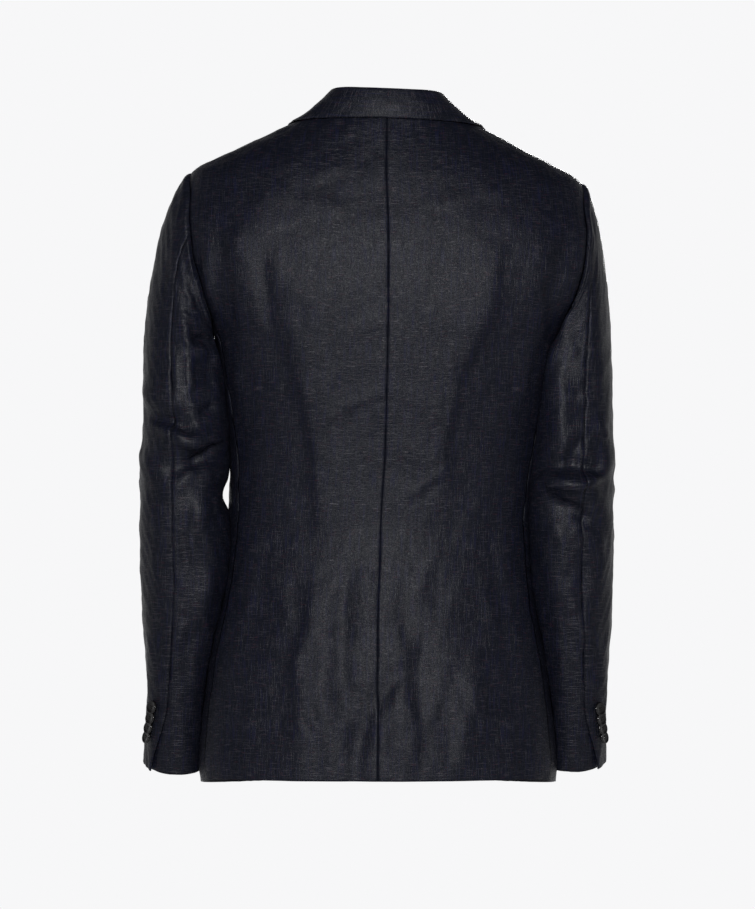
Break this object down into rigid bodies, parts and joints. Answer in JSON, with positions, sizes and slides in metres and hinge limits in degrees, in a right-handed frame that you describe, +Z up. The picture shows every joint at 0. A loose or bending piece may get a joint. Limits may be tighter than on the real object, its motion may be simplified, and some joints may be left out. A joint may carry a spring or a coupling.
{
  "type": "suit jacket",
  "caption": "Single-breasted suit jacket in slubby cloth, hanging in its worn form: notched collar, two-piece sleeves with buttoned cuff vents, side vents, open neck, hem and cuffs.",
  "frame": {"origin": "midway between the two neck ends of the shoulder seams, where the wearer's shoulders carry the jacket", "axes": "+Z up, -Y towards the front opening, +X towards the wearer's left sleeve"},
  "size_m": [0.5111, 0.2572, 0.7531],
  "materials": {
    "cloth": "dry slub weave with a slight sheen",
    "button": "polished dark horn look"
  },
  "bodies": {
    "root": {"back_left": "cloth", "back_right": "cloth", "side_panel_left": "cloth", "side_panel_right": "cloth", "front_left": "cloth", "front_right": "cloth", "lapel_left": "cloth", "lapel_right": "cloth", "collar": "cloth", "upper_sleeve_left": "cloth", "under_sleeve_left": "cloth", "upper_sleeve_right": "cloth", "under_sleeve_right": "cloth", "pocket_flap_left": "cloth", "pocket_flap_right": "cloth", "pocket_jet_left": "cloth", "pocket_jet_right": "cloth", "breast_welt": "cloth", "front_button_upper": "button", "front_button_lower": "button", "cuff_button_left_1": "button", "cuff_button_left_2": "button", "cuff_button_left_3": "button", "cuff_button_left_4": "button", "cuff_button_right_1": "button", "cuff_button_right_2": "button", "cuff_button_right_3": "button", "cuff_button_right_4": "button"}
  },
  "joints": []
}
